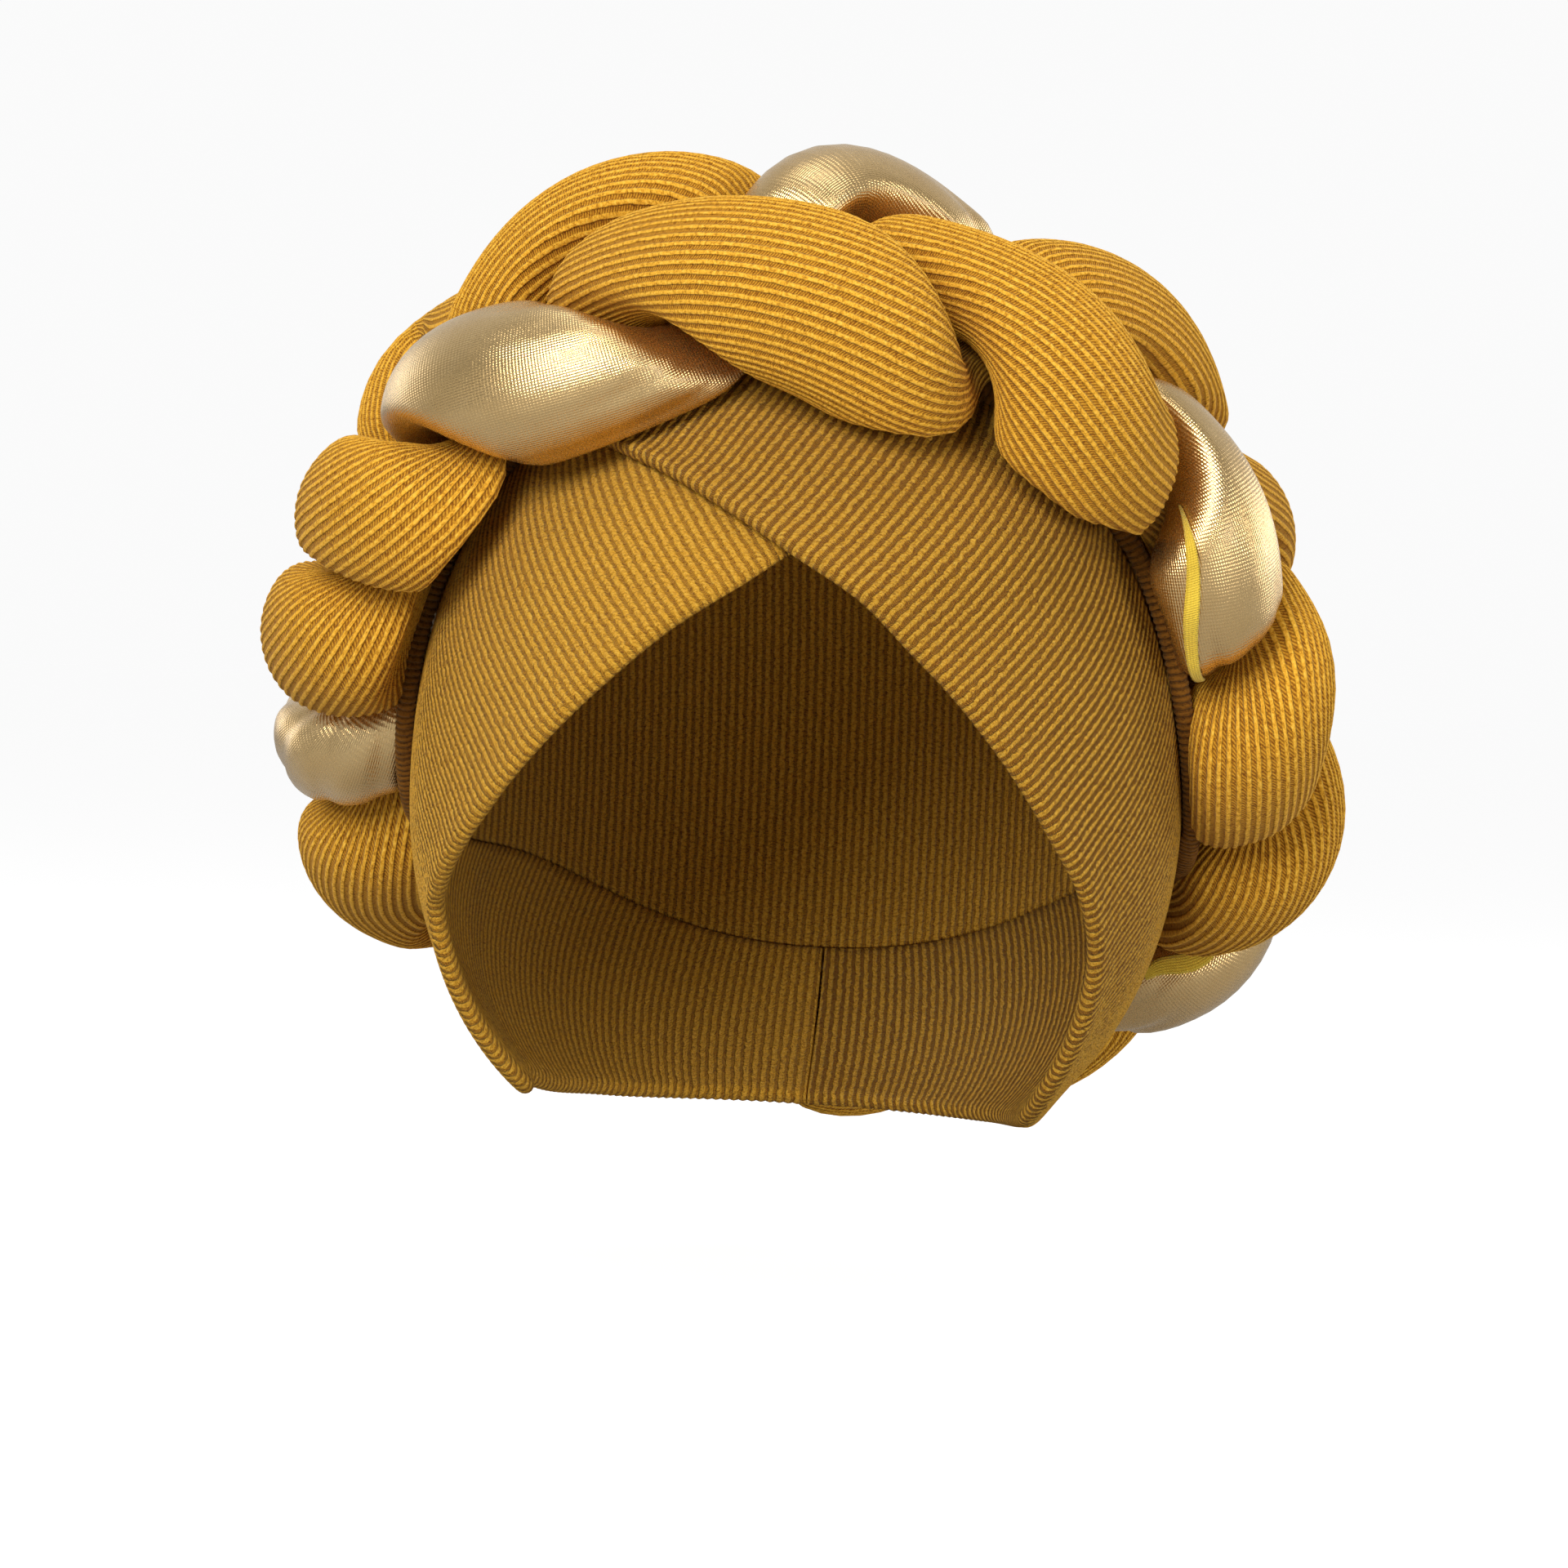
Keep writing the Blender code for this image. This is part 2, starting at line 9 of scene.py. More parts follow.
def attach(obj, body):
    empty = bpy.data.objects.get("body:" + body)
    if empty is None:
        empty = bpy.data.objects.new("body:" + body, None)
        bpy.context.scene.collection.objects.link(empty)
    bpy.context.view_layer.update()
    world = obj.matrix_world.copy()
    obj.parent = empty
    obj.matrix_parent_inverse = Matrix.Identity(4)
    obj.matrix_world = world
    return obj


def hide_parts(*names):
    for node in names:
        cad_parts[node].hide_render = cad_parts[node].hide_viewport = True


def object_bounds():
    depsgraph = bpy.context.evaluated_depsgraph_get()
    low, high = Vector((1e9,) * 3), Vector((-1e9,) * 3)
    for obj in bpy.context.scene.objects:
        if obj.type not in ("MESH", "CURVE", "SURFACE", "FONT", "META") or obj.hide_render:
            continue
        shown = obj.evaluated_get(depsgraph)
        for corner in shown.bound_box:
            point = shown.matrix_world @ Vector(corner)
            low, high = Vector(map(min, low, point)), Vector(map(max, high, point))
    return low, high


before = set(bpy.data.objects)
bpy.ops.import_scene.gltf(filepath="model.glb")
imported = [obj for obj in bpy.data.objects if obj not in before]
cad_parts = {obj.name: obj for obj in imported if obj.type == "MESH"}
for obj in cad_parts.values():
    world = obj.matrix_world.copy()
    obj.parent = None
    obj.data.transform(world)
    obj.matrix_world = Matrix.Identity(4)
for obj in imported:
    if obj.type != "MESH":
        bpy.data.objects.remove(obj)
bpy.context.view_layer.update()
print("frame loaded")


# Small tools for arrays

def unit(v):
    return v / np.linalg.norm(v, axis=-1, keepdims=True)


def smoothStep(t):
    t = np.clip(t, 0.0, 1.0)
    return t * t * (3 - 2 * t)


def hump(t, middle, width):
    # a smooth bump that is 1 at its middle
    return np.exp(-(((t - middle) / width) ** 2))


def smoothCurve(places, values, wrap=None):
    # a smooth curve through the values; wrap is (step, rise) for one that comes round again
    places, values = np.array(places, float), np.array(values, float)
    if wrap:
        step, rise = wrap
        places = np.concatenate([places - step, places, places + step])
        values = np.concatenate([values - rise, values, values + rise])
    slopes = np.gradient(values, places)

    def curve(at):
        at = np.asarray(at, float)
        i = np.clip(np.searchsorted(places, at) - 1, 0, len(places) - 2)
        span = places[i + 1] - places[i]
        t = (at - places[i]) / span
        return (
            (2 * t**3 - 3 * t**2 + 1) * values[i]
            + (t**3 - 2 * t**2 + t) * span * slopes[i]
            + (3 * t**2 - 2 * t**3) * values[i + 1]
            + (t**3 - t**2) * span * slopes[i + 1]
        )

    return curve


def evenlyAlong(azimuth, points, count):
    # azimuths that divide a line of points evenly by its length
    steps = np.linalg.norm(np.diff(points, axis=0), axis=1)
    length = np.concatenate([[0.0], np.cumsum(steps)])
    return np.interp(np.linspace(0.0, length[-1], count), length, azimuth)


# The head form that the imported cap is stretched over, measured from its own middle

head = {
    "halfWidth": 0.0780,
    "halfLength": 0.0950,
    "crownHeight": 0.0990,
    "napeDepth": 0.0810,
    "squareness": 2.12,
}
headMiddle = Vector((0.0, 0.0, -head["crownHeight"]))  # the frame's origin is inside the crown's top


def headMeasure(points, offset=0.0):
    up, down = head["crownHeight"] + offset, head["napeDepth"] + offset
    x = np.abs(points[..., 0]) / (head["halfWidth"] + offset)
    y = np.abs(points[..., 1]) / (head["halfLength"] + offset)
    z = np.abs(points[..., 2]) / np.where(points[..., 2] > 0, up, down)
    n = head["squareness"]
    return (x**n + y**n + z**n) ** (1 / n)


def headNormal(points):
    down = np.where(points[..., 2] > 0, head["crownHeight"], head["napeDepth"])
    size = np.stack(
        [np.full_like(down, head["halfWidth"]), np.full_like(down, head["halfLength"]), down], -1
    )
    n = head["squareness"]
    return unit(np.sign(points) * np.abs(points) ** (n - 1) / size**n)


def onHead(azimuth, elevation, offset=0.0):
    # azimuth 0 is the face and +90 is +X
    azimuth, elevation = np.radians(azimuth), np.radians(elevation)
    direction = np.stack(
        [
            np.cos(elevation) * np.sin(azimuth),
            -np.cos(elevation) * np.cos(azimuth),
            np.sin(elevation),
        ],
        -1,
    )
    return direction / headMeasure(direction, offset)[..., None]


def elevationWhere(azimuth, measure):
    low, high = np.full(len(azimuth), -80.0), np.full(len(azimuth), 89.0)
    for _ in range(34):
        middle = (low + high) / 2
        above = measure(onHead(azimuth, middle)) > 0
        high = np.where(above, middle, high)
        low = np.where(above, low, middle)
    return (low + high) / 2


# The wreath's line and the seam under it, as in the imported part

wreath = {
    "halfWidth": 0.0865,
    "halfLength": 0.0840,
    "backShift": 0.0210,
    "height": 0.0330,
    "rise": 0.0710,
    "napeSwell": 0.0145,
    "napeShift": -0.0035,
}
seam = {
    "drop": 0.0100,
    "sideDrop": 0.0300,
    "sidePower": 8,
    "rollRadius": 0.0018,
    "ridgeReach": 0.0090,
}
cloth = {
    "crownWall": 0.0022,
    "panelWall": 0.0030,
    "hemBulge": 0.0014,
    "hemReach": 0.0060,
    "layerGap": 0.0007,
    "overlapAzimuth": 50.0,
    "overlapFade": 12.0,
    "liftRun": 12.0,
    "liftLead": 1.7,
}


def wreathLine(turn):
    behind = (1 - np.cos(turn)) / 2
    swell = wreath["napeSwell"] * np.sin(2 * turn) * behind - wreath["napeShift"] * behind
    return np.stack(
        [
            wreath["halfWidth"] * np.sin(turn) - swell,
            wreath["backShift"] - wreath["halfLength"] * np.cos(turn),
            wreath["height"] + wreath["rise"] * np.cos(turn),
        ],
        -1,
    )


def wreathFrame(turn):
    step = 1e-4
    middle = wreathLine(turn)
    along = unit(wreathLine(turn + step) - wreathLine(turn - step))
    out = headNormal(middle)
    out = unit(out - (out * along).sum(-1, keepdims=True) * along)
    return middle, np.cross(out, along), out


def aboveSeam(points):
    slope = -wreath["rise"] / wreath["halfLength"]
    rise = points[..., 2] - wreath["height"] - slope * (points[..., 1] - wreath["backShift"])
    sideways = np.abs(points[..., 0]) / head["halfWidth"]
    dip = seam["sideDrop"] * sideways ** seam["sidePower"]
    return rise / math.hypot(1.0, slope) + seam["drop"] + dip


def seamDistance(points):
    out, step = headNormal(points), 1e-4
    moves = [step * axis for axis in np.eye(3)]
    slope = np.stack([aboveSeam(points + m) - aboveSeam(points - m) for m in moves], -1)
    slope = slope / (2 * step)
    slope = slope - (slope * out).sum(-1, keepdims=True) * out
    return aboveSeam(points) / np.linalg.norm(slope, axis=-1)


def seamElevation(azimuth, gap=0.0):
    return elevationWhere(azimuth, lambda points: aboveSeam(points) + gap)


def overlapLift(azimuth):
    fade = smoothStep((np.abs(azimuth) - cloth["overlapAzimuth"]) / cloth["overlapFade"])
    return (cloth["panelWall"] + cloth["layerGap"]) * (1.0 - fade)


def capClearance(points):
    azimuth = np.degrees(np.arctan2(points[..., 0], -points[..., 1]))
    lift = overlapLift(azimuth)
    hem = cloth["hemBulge"] * lift / (cloth["panelWall"] + cloth["layerGap"])
    ridge = 2 * seam["rollRadius"] + cloth["layerGap"]
    beside = seamDistance(points) / seam["ridgeReach"]
    return cloth["panelWall"] + lift + hem + ridge * np.exp(-(beside**4))


# Meshes from grids of points

def gridMesh(name, points, uv, closeRows, closeColumns, capEnds=False):
    rows, columns = points.shape[:2]
    mesh = bpy.data.meshes.new(name)
    i, j = np.meshgrid(
        np.arange(rows if closeRows else rows - 1),
        np.arange(columns if closeColumns else columns - 1),
        indexing="ij",
    )
    i, j = i.ravel(), j.ravel()
    corners = [(i, j), (i, j + 1), (i + 1, j + 1), (i + 1, j)]
    quads = np.stack([(a % rows) * columns + b % columns for a, b in corners], -1)
    loops = quads.ravel()
    starts = np.arange(len(quads)) * 4
    uvs = np.stack([uv[a, b] for a, b in corners], 1).reshape(-1, 2)
    if capEnds:  # the two ends of a run of columns, each closed by one face
        first = np.arange(rows) * columns
        last = first[::-1] + columns - 1
        starts = np.append(starts, [len(loops), len(loops) + rows])
        loops = np.concatenate([loops, first, last])
        uvs = np.concatenate([uvs, uv[:rows, 0], uv[:rows, columns - 1][::-1]])
    mesh.vertices.add(rows * columns)
    mesh.vertices.foreach_set("co", points.reshape(-1).astype(np.float32))
    mesh.loops.add(len(loops))
    mesh.loops.foreach_set("vertex_index", loops.astype(np.int32))
    mesh.polygons.add(len(starts))
    mesh.polygons.foreach_set("loop_start", starts.astype(np.int32))
    mesh.update(calc_edges=True)
    mesh.uv_layers.new(name="cloth")
    mesh.uv_layers["cloth"].data.foreach_set("uv", uvs.reshape(-1).astype(np.float32))
    mesh.validate()
    mesh.shade_smooth()
    return mesh


def addPiece(name, mesh, material, nodes=()):
    piece = bpy.data.objects.new(name, mesh)
    piece.location = headMiddle
    mesh.materials.append(material)
    bpy.context.scene.collection.objects.link(piece)
    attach(piece, "root")
    if nodes:
        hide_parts(*nodes)
    return piece


def lengthsDown(points):
    # distance from the first row down each column
    steps = np.linalg.norm(np.diff(points, axis=0), axis=-1)
    return np.concatenate([np.zeros((1, points.shape[1])), np.cumsum(steps, 0)])


# Shader helpers

def newGroup(name, inputs, outputs):
    group = bpy.data.node_groups.new(name, "ShaderNodeTree")
    for socketName, kind, value in inputs:
        socket = group.interface.new_socket(socketName, in_out="INPUT", socket_type=kind)
        if value is not None:
            socket.default_value = value
    for socketName, kind in outputs:
        group.interface.new_socket(socketName, in_out="OUTPUT", socket_type=kind)
    return group, group.nodes.new("NodeGroupInput"), group.nodes.new("NodeGroupOutput")


def put(tree, socket, value):
    if isinstance(value, bpy.types.NodeSocket):
        tree.links.new(value, socket)
    else:
        socket.default_value = value


def maths(tree, operation, *values, clamp=False):
    node = tree.nodes.new("ShaderNodeMath")
    node.operation = operation
    node.use_clamp = clamp
    for i, value in enumerate(values):
        put(tree, node.inputs[i], value)
    return node.outputs[0]


def wave(tree, value):
    # 0 to 1 and back, once for each whole step of the value, and 1 at whole numbers
    swing = maths(tree, "COSINE", maths(tree, "MULTIPLY", value, 2 * math.pi))
    return maths(tree, "MULTIPLY_ADD", swing, 0.5, 0.5)


def between(tree, value, low, high):
    node = tree.nodes.new("ShaderNodeMapRange")
    node.interpolation_type = "SMOOTHSTEP"
    put(tree, node.inputs["Value"], value)
    node.inputs["From Min"].default_value = low
    node.inputs["From Max"].default_value = high
    return node.outputs["Result"]


def noise(tree, vector, scale, detail=2.0, roughness=0.5):
    node = tree.nodes.new("ShaderNodeTexNoise")
    tree.links.new(vector, node.inputs["Vector"])
    node.inputs["Scale"].default_value = scale
    node.inputs["Detail"].default_value = detail
    node.inputs["Roughness"].default_value = roughness
    return node.outputs["Fac"]


def mixColours(tree, factor, first, second, blend="MIX"):
    node = tree.nodes.new("ShaderNodeMix")
    node.data_type = "RGBA"
    node.blend_type = blend
    shown = [socket for socket in node.inputs if socket.enabled]
    for socket, value in zip(shown, (factor, first, second)):
        put(tree, socket, value)
    return next(socket for socket in node.outputs if socket.enabled)


def xyz(tree, vector):
    node = tree.nodes.new("ShaderNodeSeparateXYZ")
    tree.links.new(vector, node.inputs[0])
    return node.outputs


def makeRibKnit():
    # rows of knit stitches on ribs: U counts ribs, with a rib's top at each whole number,
    # and V counts stitches along them
    group, into, out = newGroup(
        "ribKnit",
        [
            ("Coordinates", "NodeSocketVector", None),
            ("Waver", "NodeSocketFloat", 0.4),
            ("Ridge Width", "NodeSocketFloat", 0.30),
            ("Knobs", "NodeSocketFloat", 0.5),
            ("Comb", "NodeSocketFloat", 0.5),
            ("Groove", "NodeSocketFloat", 0.3),
        ],
        [
            ("Height", "NodeSocketFloat"),
            ("Shade", "NodeSocketFloat"),
            ("Light", "NodeSocketFloat"),
        ],
    )
    cloths = into.outputs["Coordinates"]
    u, v, _ = xyz(group, cloths)
    sway = maths(group, "SUBTRACT", noise(group, cloths, 0.70, 3.0, 0.6), 0.5)
    u = maths(group, "MULTIPLY_ADD", sway, into.outputs["Waver"], u)
    fromTop = maths(group, "PINGPONG", u, 0.5)  # 0 on a rib's top and 0.5 in the valley
    slope = maths(group, "DIVIDE", fromTop, into.outputs["Ridge Width"])
    ridge = maths(group, "SUBTRACT", 1.0, between(group, slope, 0.60, 1.15))
    valley = maths(group, "SUBTRACT", 1.0, ridge)
    # uneven knobs along each rib, with two slanting halves of each stitch on it
    knob = maths(group, "SUBTRACT", noise(group, cloths, 0.95, 2.5, 0.6), 0.5)
    knob = maths(group, "MULTIPLY", knob, into.outputs["Knobs"])
    chevron = wave(group, maths(group, "MULTIPLY_ADD", fromTop, 2.2, maths(group, "MULTIPLY", v, 2.0)))
    # a comb of slanting strokes between the ribs
    strokes = wave(group, maths(group, "MULTIPLY_ADD", v, 3.2, maths(group, "MULTIPLY", u, 2.0)))
    comb = maths(group, "MULTIPLY", maths(group, "MULTIPLY", valley, strokes), into.outputs["Comb"])
    fuzz = noise(group, cloths, 2.4, 4.0, 0.8)
    height = maths(group, "MULTIPLY", ridge, maths(group, "MULTIPLY_ADD", chevron, 0.10, 1.0))
    height = maths(group, "ADD", height, knob)
    height = maths(group, "MULTIPLY_ADD", fuzz, 1.10, height)
    height = maths(group, "MULTIPLY_ADD", comb, -0.45, height)
    # painted shade: darker between the ribs, in the strokes and in scattered small pits, where the knit
    # dips
    pits = between(group, fuzz, 0.49, 0.39)
    shade = maths(group, "MULTIPLY", valley, into.outputs["Groove"])
    shade = maths(group, "MULTIPLY_ADD", comb, 0.85, shade)
    shade = maths(group, "MULTIPLY_ADD", pits, 0.60, shade, clamp=True)
    # lighter flecks at random, with a painted highlight that makes them stronger on the rib tops
    light = maths(group, "MULTIPLY", between(group, fuzz, 0.45, 0.72), maths(group, "ADD", ridge, 0.3))
    group.links.new(height, out.inputs["Height"])
    group.links.new(shade, out.inputs["Shade"])
    group.links.new(light, out.inputs["Light"])
    return group


def makeFoilGrain():
    # the fine crossed emboss of metallic cloth: U and V are in its threads
    group, into, out = newGroup(
        "foilGrain",
        [("Coordinates", "NodeSocketVector", None), ("Cross", "NodeSocketFloat", 0.5)],
        [("Height", "NodeSocketFloat"), ("Worn", "NodeSocketFloat"), ("Cloudy", "NodeSocketFloat")],
    )
    cloths = into.outputs["Coordinates"]
    u, v, _ = xyz(group, cloths)
    across = wave(group, u)
    along = wave(group, v)
    height = maths(group, "MULTIPLY_ADD", along, into.outputs["Cross"], across)
    grain = noise(group, cloths, 1.5, 1.0, 0.5)
    height = maths(group, "MULTIPLY_ADD", grain, 0.7, height)
    group.links.new(height, out.inputs["Height"])
    group.links.new(between(group, grain, 0.40, 0.62), out.inputs["Worn"])
    group.links.new(noise(group, cloths, 0.045, 3.0), out.inputs["Cloudy"])
    return group


ribKnit = makeRibKnit()
foilGrain = makeFoilGrain()


def newMaterial(name):
    made = bpy.data.materials.new(name)
    made.use_nodes = True
    return made, made.node_tree, made.node_tree.nodes["Principled BSDF"]


def uvOf(tree):
    node = tree.nodes.new("ShaderNodeUVMap")
    node.uv_map = "cloth"
    return node.outputs["UV"]


def useGroup(tree, group, **values):
    node = tree.nodes.new("ShaderNodeGroup")
    node.node_tree = group
    for key, value in values.items():
        put(tree, node.inputs[key.replace("_", " ")], value)
    return node.outputs


def bumpFrom(tree, height, distance):
    node = tree.nodes.new("ShaderNodeBump")
    node.inputs["Distance"].default_value = distance
    tree.links.new(height, node.inputs["Height"])
    return node.outputs["Normal"]


colours = {
    "yarn": (0.800, 0.385, 0.027, 1.0),
    "strandYarn": (0.785, 0.378, 0.027, 1.0),
    # the deep yarn colour is painted shade for the knit's valleys, strokes and pits
    "yarnPaintedShade": (0.240, 0.080, 0.005, 1.0),
    # the tip colour is for lighter flecks of the yarn and a painted highlight on the rib tops
    "yarnFleckAndHighlight": (0.930, 0.560, 0.075, 1.0),
    # the seam colours are the yarn painted dark brown, as painted shade for the roll lying between the
    # cap and the plait
    "seam": (0.210, 0.080, 0.008, 1.0),
    "seamDeepPaintedShade": (0.060, 0.020, 0.002, 1.0),
    "gold": (0.820, 0.590, 0.290, 1.0),
    "goldShade": (0.610, 0.390, 0.145, 1.0),
    "yellow": (0.860, 0.620, 0.040, 1.0),
    "yellowShade": (0.700, 0.440, 0.020, 1.0),
}


def knitMaterial(name, yarn, paintedShade, fleckAndHighlight, bumpDepth, **cloths):
    made, tree, shader = newMaterial(name)
    knit = useGroup(tree, ribKnit, Coordinates=uvOf(tree), **cloths)
    # lighter flecks, with a painted highlight on the rib tops
    colour = mixColours(tree, knit["Light"], yarn, fleckAndHighlight)
    # painted shade, mixed in where the knit dips between the ribs, in its strokes and in its pits
    colour = mixColours(tree, knit["Shade"], colour, paintedShade)
    tree.links.new(colour, shader.inputs["Base Color"])
    shader.inputs["Roughness"].default_value = 0.88
    shader.inputs["Specular IOR Level"].default_value = 0.12
    shader.inputs["Sheen Weight"].default_value = 0.10
    shader.inputs["Sheen Roughness"].default_value = 0.45
    shader.inputs["Sheen Tint"].default_value = (1.0, 0.80, 0.42, 1.0)
    tree.links.new(bumpFrom(tree, knit["Height"], bumpDepth), shader.inputs["Normal"])
    return made


def foilMaterial(name, gold, shade):
    made, tree, shader = newMaterial(name)
    grain = useGroup(tree, foilGrain, Coordinates=uvOf(tree), Cross=0.8)
    colour = mixColours(tree, grain["Cloudy"], gold, shade)
    tree.links.new(colour, shader.inputs["Base Color"])
    roughness = maths(tree, "MULTIPLY_ADD", grain["Worn"], 0.10, 0.22)
    tree.links.new(roughness, shader.inputs["Roughness"])
    shader.inputs["Metallic"].default_value = 0.96
    shader.inputs["Coat Weight"].default_value = 0.20
    shader.inputs["Coat Roughness"].default_value = 0.20
    tree.links.new(bumpFrom(tree, grain["Height"], 0.000045), shader.inputs["Normal"])
    return made


def backingMaterial(name, yellow, shade):
    made, tree, shader = newMaterial(name)
    grain = useGroup(tree, foilGrain, Coordinates=uvOf(tree), Cross=1.0)
    colour = mixColours(tree, grain["Cloudy"], yellow, shade)
    tree.links.new(colour, shader.inputs["Base Color"])
    shader.inputs["Roughness"].default_value = 0.7
    shader.inputs["Sheen Weight"].default_value = 0.2
    tree.links.new(bumpFrom(tree, grain["Height"], 0.00010), shader.inputs["Normal"])
    return made


strandKnit = knitMaterial(
    "strand knit", colours["strandYarn"], colours["yarnPaintedShade"], colours["yarnFleckAndHighlight"], 0.00030,
    Waver=0.25, Ridge_Width=0.29, Knobs=0.9, Comb=0.82, Groove=0.22,
)
panelKnit = knitMaterial(
    "panel knit", colours["yarn"], colours["yarnPaintedShade"], colours["yarnFleckAndHighlight"], 0.00075,
    Waver=0.60, Ridge_Width=0.33, Knobs=1.7, Comb=0.50, Groove=0.34,
)
# the upper panel's copy of the panel knit has narrower rib tops, deeper bumps and more painted shade
# between the ribs and in their strokes, for light that grazes it from the left
shadedPanelKnit = knitMaterial(
    "panel knit with painted shade", colours["yarn"], colours["yarnPaintedShade"], colours["yarnFleckAndHighlight"], 0.00095,
    Waver=0.60, Ridge_Width=0.30, Knobs=1.7, Comb=0.60, Groove=0.50,
)
# the seam roll's knit is painted dark all over, as painted shade between the cap and the plait
shadedSeamKnit = knitMaterial(
    "seam knit with painted shade", colours["seam"], colours["seamDeepPaintedShade"], colours["seam"], 0.00030,
    Waver=0.60, Ridge_Width=0.36, Knobs=0.8, Comb=0.30, Groove=0.40,
)
foil = foilMaterial("gold foil cloth", colours["gold"], colours["goldShade"])
backing = backingMaterial("yellow cloth back", colours["yellow"], colours["yellowShade"])
print("materials made")


# The plait

plait = {
    "strands": 3,
    "gold": 1,
    "halfWidth": 0.0185,
    "halfDepth": 0.0060,
    "seat": 0.0125,
    "seatPower": 30,
    "knitRadius": 0.0180,
    "goldRadius": 0.0158,
    "lobeSwell": 0.0014,
    "strandGap": 0.0007,
    "capGap": 0.0007,
    "rings": 360,
    "mapSides": 96,
    "goldSides": 160,
    "leastReach": 0.0010,
    "ribs": 55,
    "stepsPerRib": 5,
    "ribHeight": 0.00042,
    "ribFadeReach": 0.0090,
    "stitchLength": 0.0013,
    "threadPitch": 0.00052,
    "foldCount": 11,
    "foldDives": (0.375, 1.875, 3.375, -1.125),  # steps along the strand where it goes under
    "foldSpan": 0.32,
    "goldFoldDepth": 0.0022,
    "knitFoldDepth": 0.0004,
    # dives of the gold strand with fewer folds: lobe and the share that is left out
    "smoothDives": ((-0.625, 0.75), (-3.625, 1.0)),
    "creasedLobe": -4.15,
    "creaseCount": 7,
    "creaseSlant": 9,
    "creaseDepth": 0.0008,
    "smoothSpan": 0.5,
    "creasedSpan": 0.45,
    "drawIn": 1,
    "blur": 3,
    # where the lower lobes lie further over the panels: turn, span in degrees, how far
    "overPanels": ((-66.0, 30.0, 0.0120), (90.0, 22.0, 0.0120)),
}
# where each lobe of the lower edge lies as a turn round the head, and the upper lobe after it
lobePlaces = (
    (-7, -168.0, -160.0),
    (-6, -150.0, -138.0),
    (-5, -114.0, -116.0),
    (-4, -94.5, -96.0),
    (-3, -73.5, -72.0),
    (-2, -53.5, -57.0),
    (-1, -31.0, -17.0),
    (0, 12.5, 12.5),
    (1, 38.0, 61.0),
    (2, 67.0, 87.0),
    (3, 84.5, 107.5),
    (4, 110.5, 125.5),
    (5, 135.0, 145.5),
    (6, 159.0, 168.0),
    (7, 177.0, 185.0),
)
lobes, lowerPlaces, upperPlaces = np.array(lobePlaces).T
lowerTurn = smoothCurve(lobes, np.radians(lowerPlaces), wrap=(len(lobePlaces), 2 * math.pi))
upperTurn = smoothCurve(lobes + 0.5, np.radians(upperPlaces), wrap=(len(lobePlaces), 2 * math.pi))


def strandMiddle(number, lobe):
    phase = math.pi + (lobe + number) * 2 * math.pi / plait["strands"]
    toUpper = (1 + np.cos(phase)) / 2
    turn = lowerTurn(lobe) + (upperTurn(lobe) - lowerTurn(lobe)) * toUpper
    middle, across, out = wreathFrame(turn)
    centre = middle + across * (plait["halfWidth"] * np.cos(phase))[:, None]
    centre -= out * (plait["halfDepth"] * np.sin(2 * phase))[:, None]
    place = np.degrees(np.mod(turn + math.pi, 2 * math.pi) - math.pi)
    lower = sum(far * hump(place, at, span) for at, span, far in plait["overPanels"])
    centre -= across * (lower * (1 - toUpper))[:, None]
    power = plait["seatPower"]
    lifted = (1 + headMeasure(centre, plait["seat"]) ** -power) ** (1 / power)
    return centre * lifted[:, None], out


def strandLine(number, lobe, freeRadius):
    step = 1e-3
    line, out = strandMiddle(number, lobe)
    direction = unit(strandMiddle(number, lobe + step)[0] - strandMiddle(number, lobe - step)[0])
    up = unit(out - (out * direction).sum(-1, keepdims=True) * direction)
    edge = np.cos((lobe + number) * 4 * math.pi / plait["strands"])
    return line, np.cross(up, direction), up, freeRadius + plait["lobeSwell"] * edge


def treeOf(points):
    tree = KDTree(len(points))
    for i, point in enumerate(points):
        tree.insert(point, i)
    tree.balance()
    return tree


def distanceTo(tree, points):
    found = [tree.find(point)[2] for point in points.reshape(-1, 3)]
    return np.array(found).reshape(points.shape[:-1])


def raysOf(side, up, angles):
    return (
        side[:, None, :] * np.cos(angles)[None, :, None]
        + up[:, None, :] * np.sin(angles)[None, :, None]
    )


def pressedReach(line, rays, radius, own, others):
    full = np.repeat(radius[:, None], rays.shape[1], 1)
    low, high = np.full(full.shape, plait["leastReach"]), full
    for _ in range(10):
        reach = (low + high) / 2
        points = line[:, None, :] + rays * reach[..., None]
        free = headMeasure(points, capClearance(points) + plait["capGap"]) >= 1.0
        ownDistance = distanceTo(own, points)
        for other, thicker in others:
            free &= distanceTo(other, points) - ownDistance >= plait["strandGap"] + thicker
        low = np.where(free, reach, low)
        high = np.where(free, high, reach)
    return low


def softened(reach, drawIn, blur):
    # drawn in first and then blurred, so that the blur doesn't push into a neighbour
    for _ in range(drawIn):
        for axis in (0, 1):
            beside = np.minimum(np.roll(reach, 1, axis), np.roll(reach, -1, axis))
            reach = np.minimum(reach, beside)
    for _ in range(blur):
        for axis in (0, 1):
            reach = (np.roll(reach, 1, axis) + 2 * reach + np.roll(reach, -1, axis)) / 4
    return reach


def finerRound(values, count):
    # more points round each ring, on a smooth curve through the ones there are
    had = values.shape[1]
    at = np.arange(count) * had / count
    i = at.astype(int)
    t = (at - i)[None, :]
    before, here, after, beyond = (values[:, (i + k) % had] for k in (-1, 0, 1, 2))
    return (
        here
        + t * (after - before) / 2
        + t**2 * (before - 2.5 * here + 2 * after - beyond / 2)
        + t**3 * (1.5 * (here - after) + (beyond - before) / 2)
    )


